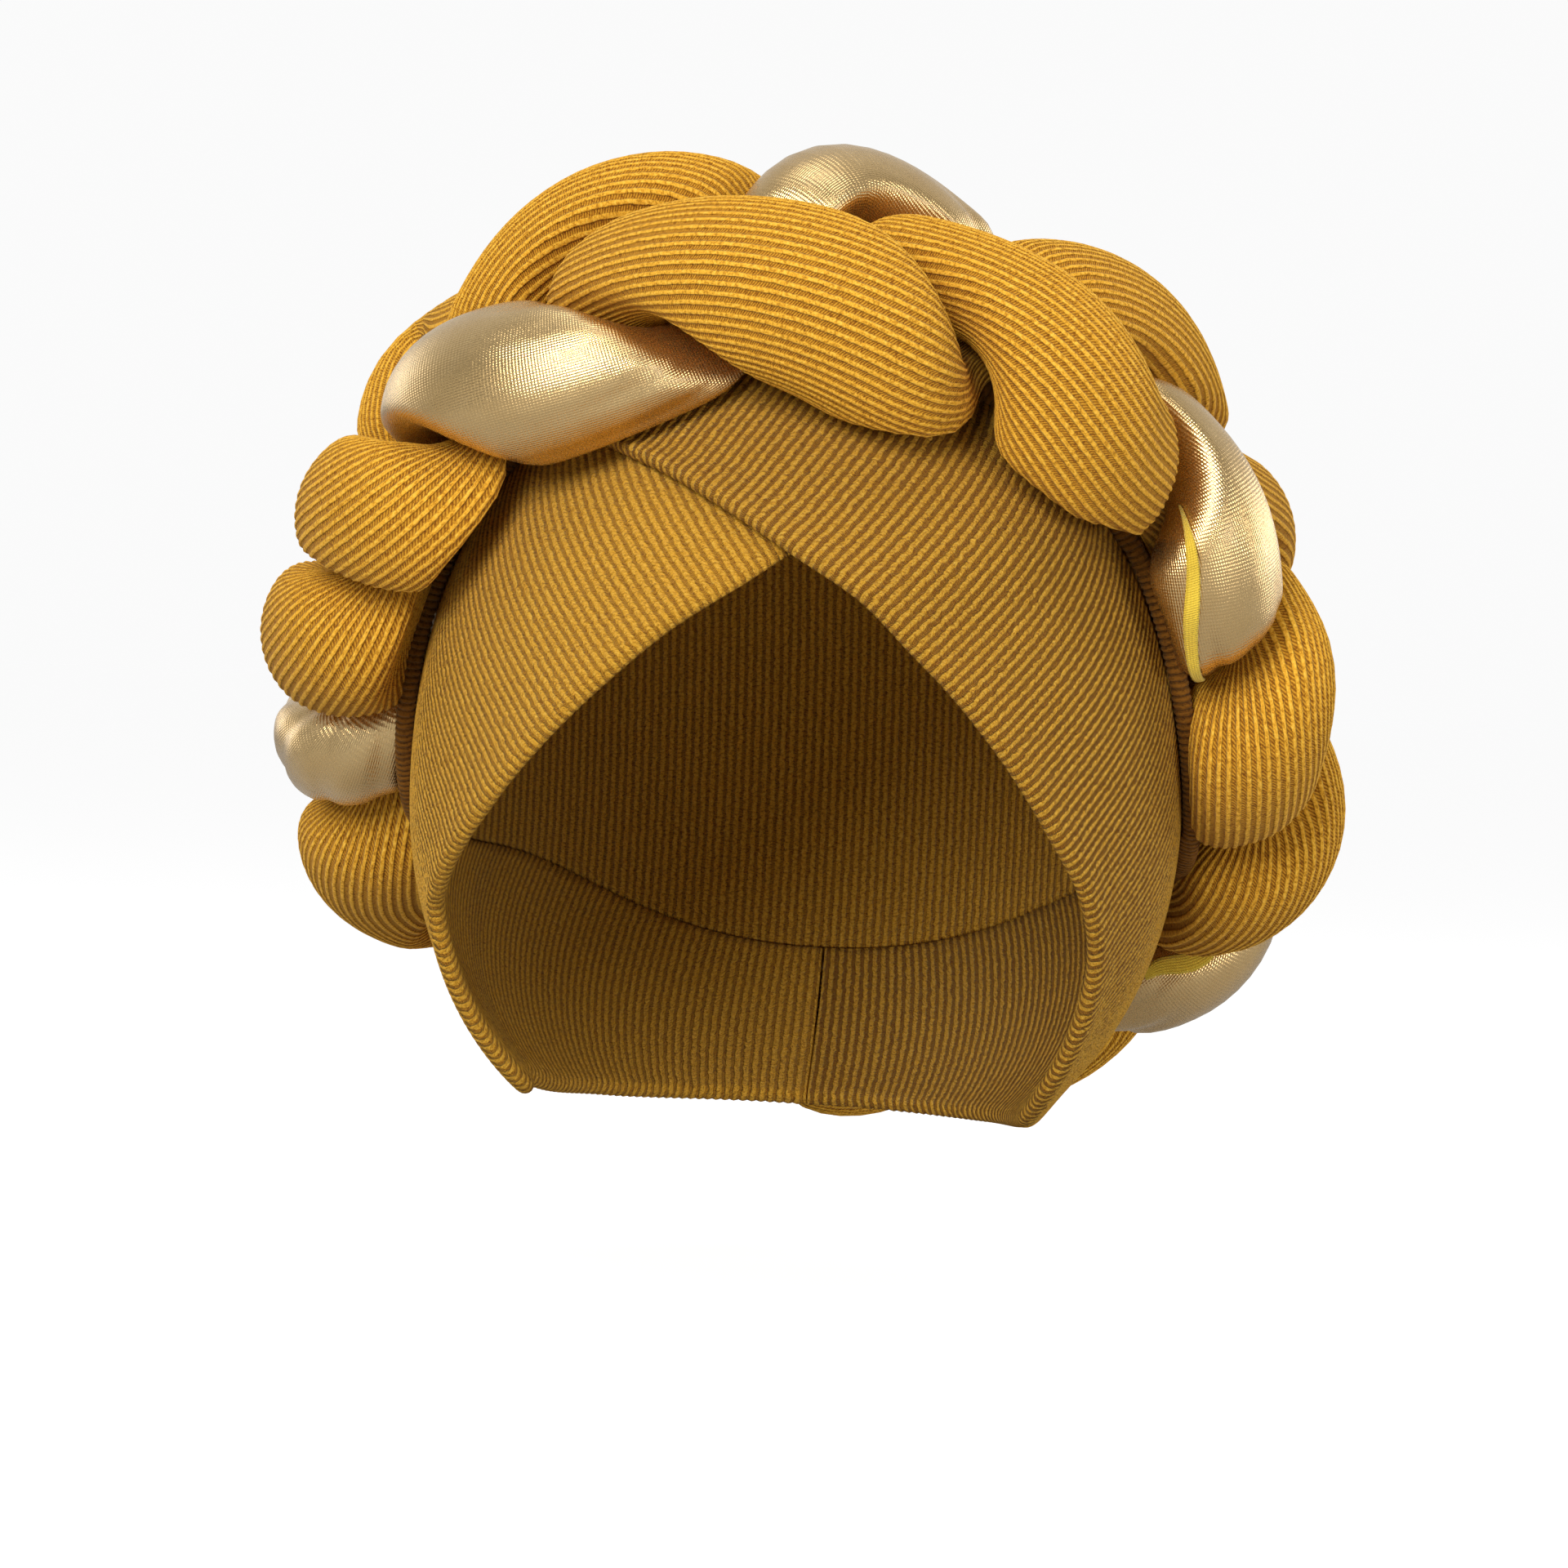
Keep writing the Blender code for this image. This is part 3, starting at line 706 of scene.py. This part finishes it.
def foldsAt(lobe, angles, depth):
    # folds that run along the strand where it dives under the others, deepest at the dive
    phase = np.mod(lobe, plait["strands"])
    dives = sum(hump(phase, middle, plait["foldSpan"]) for middle in plait["foldDives"])
    drift = 0.9 * np.sin(lobe * 2.1)[:, None] + 0.5 * np.sin(lobe * 5.3)[:, None]
    waves = 0.5 - 0.5 * np.cos(plait["foldCount"] * angles[None, :] + 2.2 * drift)
    uneven = 0.6 + 0.4 * np.sin(2 * angles[None, :] + 3.0 * drift)
    return depth * dives[:, None] * waves**2 * uneven


denseLobes = np.linspace(0.0, len(lobePlaces), 900, endpoint=False)
radii = [plait["knitRadius"], plait["goldRadius"], plait["knitRadius"]]
strandTrees = [treeOf(strandLine(k, denseLobes, radii[k])[0]) for k in range(plait["strands"])]


def strandShape(number):
    # rings evenly along the strand, with how far each ray of each ring reaches
    size = radii[number]
    isGold = number == plait["gold"]
    middle = strandMiddle(number, np.append(denseLobes, len(lobePlaces)))[0]
    lobe = evenlyAlong(np.append(denseLobes, len(lobePlaces)), middle, plait["rings"] + 1)[:-1]
    line, side, up, radius = strandLine(number, lobe, size)
    sides = plait["goldSides"] if isGold else plait["mapSides"]
    angles = np.arange(sides) * 2 * math.pi / sides
    rays = raysOf(side, up, angles)
    others = [(strandTrees[k], radii[k] - size) for k in range(plait["strands"]) if k != number]
    reach = pressedReach(line, rays, radius, strandTrees[number], others)
    reach = softened(reach, plait["drawIn"], plait["blur"])
    depth = plait["goldFoldDepth"] if isGold else plait["knitFoldDepth"]
    folds = foldsAt(lobe + number, angles, depth)
    if isGold:
        rounds = len(lobePlaces)
        span = plait["smoothSpan"]
        smooth = sum(share * hump(lobe, dive + rounds, span) for dive, share in plait["smoothDives"])
        creased = hump(lobe, plait["creasedLobe"] + rounds, plait["creasedSpan"])
        slant = plait["creaseSlant"] * lobe[:, None]
        slanting = 0.5 + 0.5 * np.cos(plait["creaseCount"] * angles[None, :] + slant)
        folds = folds * (1 - smooth)[:, None]
        folds = folds + plait["creaseDepth"] * creased[:, None] * slanting**3
    reach = np.maximum(reach - folds, plait["leastReach"])
    length = np.linalg.norm(np.diff(middle, axis=0), axis=1).sum()
    return line, side, up, reach, length, lobe


def addKnitStrand(name, number):
    line, side, up, reach, length, _ = strandShape(number)
    around = plait["ribs"] * plait["stepsPerRib"]
    angles = np.arange(around) * 2 * math.pi / around
    reach = finerRound(reach, around)
    ribs = (1 + np.cos(angles * plait["ribs"])) / 2
    ribHeight = plait["ribHeight"] * smoothStep(reach / plait["ribFadeReach"])
    reach = reach - ribHeight * (1 - ribs)[None, :]
    points = line[:, None, :] + raysOf(side, up, angles) * reach[..., None]
    stitches = round(length / plait["stitchLength"])
    v, u = np.meshgrid(
        np.linspace(0, stitches, plait["rings"] + 1),
        np.linspace(0, plait["ribs"], around + 1),
        indexing="ij",
    )
    mesh = gridMesh(name, points, np.stack([u, v], -1), True, True)
    piece = addPiece(name, mesh, strandKnit, [name.replace("_sewn", "")])
    print(name, "made")


def addGoldStrand(name):
    line, side, up, reach, length, lobe = strandShape(plait["gold"])
    sides = plait["goldSides"]
    angles = np.arange(sides) * 2 * math.pi / sides
    points = line[:, None, :] + raysOf(side, up, angles) * reach[..., None]
    around = 2 * math.pi * plait["goldRadius"]
    v, u = np.meshgrid(
        np.linspace(0, round(length / plait["threadPitch"]), plait["rings"] + 1),
        np.linspace(0, round(around / plait["threadPitch"]), sides + 1),
        indexing="ij",
    )
    mesh = gridMesh(name, points, np.stack([u, v], -1), True, True)
    piece = addPiece(name, mesh, foil, ["strand_gold"])
    print(name, "made")
    return lobe, reach


# The yellow edges of the gold tube's seam

flap = {
    "wall": 0.0009,
    "lift": 0.0004,
    "sections": 70,
    "acrossSteps": 6,
    "waver": 0.0004,
    "turnShare": 0.9,
    "places": (
        # name, lobes and degrees round the strand where it starts and ends, and its width
        ("gold_seam_flap_upper", 1.62, 2.23, 179.0, 198.0, 0.0027),
        ("gold_seam_flap_lower", 4.70, 4.98, 192.0, 226.0, 0.0042),
    ),
}


def addFlap(name, startLobe, endLobe, startDegrees, endDegrees, width, goldLobe, goldReach):
    size = plait["goldRadius"]
    places = np.linspace(startLobe, endLobe, flap["sections"])
    line, side, up, _ = strandLine(plait["gold"], places, size)
    share = np.linspace(0.0, 1.0, flap["sections"])
    half = math.degrees(width / 2 / size) * np.sin((0.06 + 0.88 * share) * math.pi) ** 0.7
    turned = startDegrees + (endDegrees - startDegrees) * smoothStep(share / flap["turnShare"])
    turns = turned[:, None] + half[:, None] * np.linspace(-1.0, 1.0, flap["acrossSteps"])[None, :]
    angles = np.radians(turns)[..., None]
    rays = side[:, None, :] * np.cos(angles) + up[:, None, :] * np.sin(angles)
    around = goldReach.shape[1]
    ring = np.interp(places, goldLobe, np.arange(len(goldLobe)))
    column = turns / 360.0 * around
    i, j = ring.astype(int)[:, None], column.astype(int)
    ringPart, columnPart = ring[:, None] - i, column - j

    def ringReach(i):
        return goldReach[i, j % around] * (1 - columnPart) + goldReach[i, (j + 1) % around] * columnPart

    reach = ringReach(i) * (1 - ringPart) + ringReach(i + 1) * ringPart + flap["lift"]
    surface = line[:, None, :] + rays * reach[..., None]
    wavy = flap["waver"] * np.sin(places * 30.0)[:, None, None]
    low, high = surface, surface + rays * (flap["wall"] + wavy)
    ring = np.concatenate([low, high[:, ::-1]], 1)
    points = ring.transpose(1, 0, 2)
    down = lengthsDown(points.transpose(1, 0, 2)).T / plait["threadPitch"]
    across = np.linspace(0, 2 * width / plait["threadPitch"], len(points) + 1)
    v = np.concatenate([down, down[:1]])
    u = np.repeat(across[:, None], v.shape[1], 1)
    mesh = gridMesh(name, points, np.stack([u, v], -1), True, False, capEnds=True)
    addPiece(name, mesh, backing, [name.replace("_sewn", "")])


# The two front panels

panel = {
    "backAzimuth": 179.8,
    "endAzimuth": -42.0,
    "hemFlatAzimuth": -12.0,
    "hemFlatRun": 10.0,
    "depth": 0.0500,
    "ribs": 172,
    "stepsPerRib": 4,
    "outerRows": 62,
    "hemRows": 9,
    "innerRows": 26,
    "seamGap": 0.0003,
    "ribHeight": 0.00055,
    "insideRibHeight": 0.00022,
    "flatShare": 0.05,
    "ribRoundness": 0.7,
    "stitchLength": 0.0013,
}
# the edge round the face: azimuth towards the panel's own side, and its height for each panel
rimPlaces = (
    (-44.0, 0.0715, 0.0700),
    (-29.0, 0.0660, 0.0640),
    (-14.0, 0.0592, 0.0560),
    (-4.0, 0.0520, 0.0495),
    (3.0, 0.0457, 0.0420),
    (12.0, 0.0370, 0.0318),
    (21.0, 0.0250, 0.0192),
    (30.0, 0.0100, 0.0062),
    (39.0, -0.0060, -0.0062),
    (48.0, -0.0202, -0.0160),
    (54.0, -0.0330, -0.0220),
    (58.5, -0.0470, -0.0270),
    (62.5, -0.0560, -0.0400),
    (67.0, -0.0605, -0.0525),
    (90.0, -0.0650, -0.0610),
    (130.0, -0.0670, -0.0655),
    (180.0, -0.0670, -0.0670),
)
rimAzimuths, overHeights, underHeights = np.array(rimPlaces).T
rimHeight = {1: smoothCurve(rimAzimuths, overHeights), -1: smoothCurve(rimAzimuths, underHeights)}


def rimElevation(azimuth, side):
    height = rimHeight[side](side * azimuth)
    return elevationWhere(azimuth, lambda points: points[..., 2] - height)


def panelSheet(side):
    count = panel["ribs"] * panel["stepsPerRib"] + 1
    dense = side * np.linspace(panel["backAzimuth"], panel["endAzimuth"], 1200)
    seamAzimuth = evenlyAlong(dense, onHead(dense, seamElevation(dense)), count)
    rimAzimuth = evenlyAlong(dense, onHead(dense, rimElevation(dense, side)), count)
    top = seamElevation(seamAzimuth, panel["seamGap"])
    rim = rimElevation(rimAzimuth, side)
    crossed = smoothStep((rimAzimuth - panel["hemFlatAzimuth"]) / panel["hemFlatRun"])
    hem = cloth["hemBulge"] * (np.ones_like(rim) if side > 0 else 1.0 - crossed)
    edgeShare = (cloth["panelWall"] + cloth["hemBulge"]) / 2 / panel["depth"]
    rib = (1 + np.cos(np.arange(count) * 2 * math.pi / panel["stepsPerRib"])) / 2
    rib = rib ** panel["ribRoundness"]

    def row(share, wall, ribHeight):
        ribHeight = ribHeight * smoothStep(share / panel["flatShare"])
        azimuth = seamAzimuth + (rimAzimuth - seamAzimuth) * share
        elevation = top + (rim - top) * share
        bulge = hem * math.exp(-(((1 - share) * panel["depth"] / cloth["hemReach"]) ** 2))
        offset = wall * (cloth["panelWall"] + bulge) + ribHeight * (rib - 1)
        if side > 0:
            climb = (elevation - rimElevation(azimuth, -side)) / cloth["liftRun"] + cloth["liftLead"]
            offset = offset + overlapLift(np.maximum(azimuth, 0.0)) * smoothStep(climb)
        return onHead(azimuth, elevation, offset)

    down = 1 - edgeShare
    rows = [row(share, 1.0, panel["ribHeight"]) for share in np.linspace(0, down, panel["outerRows"])]
    for angle in np.linspace(0, math.pi, panel["hemRows"] + 2)[1:-1]:
        wall = (1 + math.cos(angle)) / 2
        high = panel["insideRibHeight"] + (panel["ribHeight"] - panel["insideRibHeight"]) * wall
        rows.append(row(down + edgeShare * math.sin(angle), wall, high * (2 * wall - 1)))
    inside = -panel["insideRibHeight"]
    rows += [row(share, 0.0, inside) for share in np.linspace(down, 0, panel["innerRows"])]
    return np.stack(rows)


def addPanel(name, side, material, node):
    points = panelSheet(side)
    down = lengthsDown(points) / panel["stitchLength"]
    v = np.concatenate([down, down[-1:] + 1])
    u = np.repeat(np.arange(points.shape[1])[None, :] / panel["stepsPerRib"], len(v), 0)
    mesh = gridMesh(name, points, np.stack([u, v], -1), True, False, capEnds=True)
    if side > 0:
        mesh.flip_normals()
    piece = addPiece(name, mesh, material, [node])
    print(name, "made")


# The crown

crown = {
    "ribPitch": 0.0019,
    "rings": 90,
    "spokes": 300,
    "firstRing": 0.004,
    "stitchLength": 0.0013,
    "seamGap": 0.0003,
}


def addCrown(name):
    dense = np.linspace(-180.0, 180.0, 1200)
    seamLine = onHead(dense, seamElevation(dense))
    azimuth = evenlyAlong(dense, seamLine, crown["spokes"] + 1)[:-1]
    edge = unit(onHead(azimuth, seamElevation(azimuth, -crown["seamGap"])))
    tilt = math.atan2(wreath["rise"], wreath["halfLength"])
    pole = np.array([0.0, math.sin(tilt), math.cos(tilt)])
    angle = np.arccos(edge @ pole)[:, None]
    layers = []
    for offset in (cloth["crownWall"], 0.0):
        rings = []
        for share in np.linspace(crown["firstRing"], 1.0, crown["rings"]):
            direction = pole * np.sin((1 - share) * angle) + edge * np.sin(share * angle)
            rings.append(direction / headMeasure(direction, offset)[:, None])
        layers.append(np.stack(rings))
    points = np.concatenate([layers[0], layers[1][::-1]])
    points = np.concatenate([points[:1] * 0 + points[:1].mean(1, keepdims=True), points])
    points = np.concatenate([points, points[-1:] * 0 + points[-1:].mean(1, keepdims=True)])
    width = head["halfWidth"] + cloth["crownWall"]
    u = width * np.arcsin(np.clip(points[..., 0] / (width * 1.04), -1, 1)) / crown["ribPitch"]
    v = np.arctan2(points[..., 1], points[..., 2]) * head["halfLength"] / crown["stitchLength"]
    uv = np.stack([u, v], -1)
    uv = np.concatenate([uv, uv[:, :1]], 1)
    mesh = gridMesh(name, points, uv, False, True)
    piece = addPiece(name, mesh, panelKnit, ["crown_cap"])
    print(name, "made")


# The gathered roll on the seam

roll = {
    "rings": 2400,
    "sides": 12,
    "puckers": 380,
    "puckerDepth": 0.00022,
    "slips": ((0.5, 37), (0.4, 91)),  # how far the puckers stray, and how often round the roll
    "stitchesRound": 6,
    "leftLead": 7.0,
    "leftEnd": -42.5,
    "footGap": 0.00005,
}


def addRoll(name):
    dense = np.linspace(-180.0, 180.0, 1200)
    azimuth = evenlyAlong(dense, onHead(dense, seamElevation(dense)), roll["rings"] + 1)[:-1]
    # on the left the upper panel ends sooner, so the roll comes down sooner there
    overlap = overlapLift(np.where(azimuth < 0, azimuth - roll["leftLead"], azimuth))
    lift = cloth["panelWall"] + cloth["layerGap"] + seam["rollRadius"] + overlap
    line = onHead(azimuth, seamElevation(azimuth), lift)
    along = unit(np.roll(line, -1, 0) - np.roll(line, 1, 0))
    out = headNormal(line)
    out = unit(out - (out * along).sum(-1, keepdims=True) * along)
    angles = np.arange(roll["sides"]) * 2 * math.pi / roll["sides"]
    place = np.arange(roll["rings"]) / roll["rings"]
    slip = sum(far * np.sin(2 * math.pi * times * place) for far, times in roll["slips"])
    pucker = 0.5 - 0.5 * np.cos(2 * math.pi * roll["puckers"] * place + slip)
    radius = seam["rollRadius"] - roll["puckerDepth"] * pucker
    # the side towards the head is drawn out into a foot that stands on the cloth below
    panelTop = cloth["panelWall"] + np.where(azimuth < roll["leftEnd"], 0.0, overlapLift(azimuth))
    overCrown = aboveSeam(line - out * lift[:, None]) > 0
    foot = lift - np.where(overCrown, cloth["crownWall"], panelTop) - roll["footGap"]
    rays = raysOf(np.cross(out, along), out, angles) * radius[:, None, None]
    down = np.minimum((rays * out[:, None, :]).sum(-1, keepdims=True), 0.0) * out[:, None, :]
    points = line[:, None, :] + rays + down * (foot / seam["rollRadius"] - 1.0)[:, None, None]
    v, u = np.meshgrid(
        np.linspace(0, roll["puckers"], roll["rings"] + 1),
        np.linspace(0, roll["stitchesRound"], roll["sides"] + 1),
        indexing="ij",
    )
    mesh = gridMesh(name, points, np.stack([v, u], -1), True, True)
    addPiece(name, mesh, shadedSeamKnit, ["seam_roll"])
    print(name, "made")


addKnitStrand("strand_knit_a_sewn", 0)
goldLobe, goldReach = addGoldStrand("strand_gold_sewn")
addKnitStrand("strand_knit_b_sewn", 2)
for flapName, *flapShape in flap["places"]:
    addFlap(flapName + "_sewn", *flapShape, goldLobe, goldReach)
addRoll("seam_roll_gathered")
addPanel("front_panel_over_folded", 1, shadedPanelKnit, "front_panel_over")
addPanel("front_panel_under_folded", -1, panelKnit, "front_panel_under")
addCrown("crown_cap_knit")


# Floor, light and camera

stage = {
    "floorDrop": 0.030,
    "floorRadius": 40.0,
    "floorSides": 64,
    "shade": (0.50, 0.50, 0.50, 1.0),
    "glow": 0.73,
    "backdrop": 0.96,
    "frontLight": 0.28,
    "backLight": 0.66,
    "turnover": (-0.5, 0.6),
}


def addFloor():
    # a wide pale floor, as bright to the camera as the air behind it
    turns = np.arange(stage["floorSides"]) * 2 * math.pi / stage["floorSides"]
    points = np.stack([np.cos(turns), np.sin(turns), 0 * turns], -1)[None] * stage["floorRadius"]
    points = np.concatenate([points * 0, points])
    mesh = gridMesh("floor", points, np.zeros((2, stage["floorSides"] + 1, 2)), False, True)
    made, tree, shader = newMaterial("pale floor")
    shader.inputs["Base Color"].default_value = stage["shade"]
    shader.inputs["Roughness"].default_value = 0.9
    shader.inputs["Specular IOR Level"].default_value = 0.0
    shader.inputs["Emission Color"].default_value = (1.0, 1.0, 1.0, 1.0)
    seen = tree.nodes.new("ShaderNodeLightPath").outputs["Is Camera Ray"]
    tree.links.new(maths(tree, "MULTIPLY", seen, stage["glow"]), shader.inputs["Emission Strength"])
    mesh.materials.append(made)
    floor = bpy.data.objects.new("floor", mesh)
    floor.location = (0.0, 0.0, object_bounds()[0].z - stage["floorDrop"])
    bpy.context.scene.collection.objects.link(floor)


lights = (
    # name, place, size, power
    ("key", (-0.42, -1.62, 0.66), 0.9, 27.0),
    ("fill", (1.35, -1.15, -0.25), 1.1, 22.0),
    ("top", (0.10, -0.50, 1.55), 0.9, 6.0),
    ("rim left", (-1.30, 0.90, 0.30), 0.8, 2.5),
    ("rim right", (1.30, 0.90, 0.30), 0.8, 6.0),
)


def addLights():
    for name, place, size, power in lights:
        lamp = bpy.data.lights.new(name, "AREA")
        lamp.shape = "DISK"
        lamp.size = size
        lamp.energy = power
        held = bpy.data.objects.new(name, lamp)
        held.location = Vector(place) + headMiddle
        held.rotation_euler = (headMiddle - held.location).to_track_quat("-Z", "Y").to_euler()
        bpy.context.scene.collection.objects.link(held)


def addWorld():
    # soft light all round, stronger from behind, and a pale backdrop for the camera
    world = bpy.data.worlds.new("studio")
    world.use_nodes = True
    tree = world.node_tree
    direction = tree.nodes.new("ShaderNodeTexCoord").outputs["Generated"]
    behind = between(tree, xyz(tree, direction)[1], *stage["turnover"])
    spread = stage["backLight"] - stage["frontLight"]
    soft = maths(tree, "MULTIPLY_ADD", behind, spread, stage["frontLight"])
    seen = tree.nodes.new("ShaderNodeLightPath").outputs["Is Camera Ray"]
    missing = maths(tree, "MULTIPLY", maths(tree, "SUBTRACT", stage["backdrop"], soft), seen)
    tree.links.new(maths(tree, "ADD", soft, missing), tree.nodes["Background"].inputs["Strength"])
    tree.nodes["Background"].inputs["Color"].default_value = (1.0, 1.0, 1.0, 1.0)
    bpy.context.scene.world = world


view = {
    "azimuth": 5.0,
    "elevation": 1.0,
    "roll": 2.5,
    "distance": 1.300,
    "target": (-0.003, 0.0, 0.002),
    "pixelsPerMetre": 5800.0,  # at that distance, in the photograph's frame
    "frame": 1920,
    "sensor": 36.0,
}


def addCamera():
    azimuth, elevation = math.radians(view["azimuth"]), math.radians(view["elevation"])
    back = Vector(
        (
            math.sin(azimuth) * math.cos(elevation),
            -math.cos(azimuth) * math.cos(elevation),
            math.sin(elevation),
        )
    )
    right = (-back).cross(Vector((0, 0, 1))).normalized()
    up = right.cross(-back)
    turn = math.radians(view["roll"])
    rolledRight = right * math.cos(turn) + up * math.sin(turn)
    rolledUp = up * math.cos(turn) - right * math.sin(turn)
    lens = bpy.data.cameras.new("camera")
    lens.sensor_width = view["sensor"]
    lens.lens = view["pixelsPerMetre"] * view["distance"] * view["sensor"] / view["frame"]
    camera = bpy.data.objects.new("camera", lens)
    place = Vector(view["target"]) + headMiddle + back * view["distance"]
    axes = Matrix((rolledRight, rolledUp, back)).transposed().to_4x4()
    camera.matrix_world = Matrix.Translation(place) @ axes
    bpy.context.scene.collection.objects.link(camera)
    bpy.context.scene.camera = camera


addFloor()
addLights()
addWorld()
addCamera()
bpy.context.scene.view_settings.view_transform = "Standard"
print("stage set")
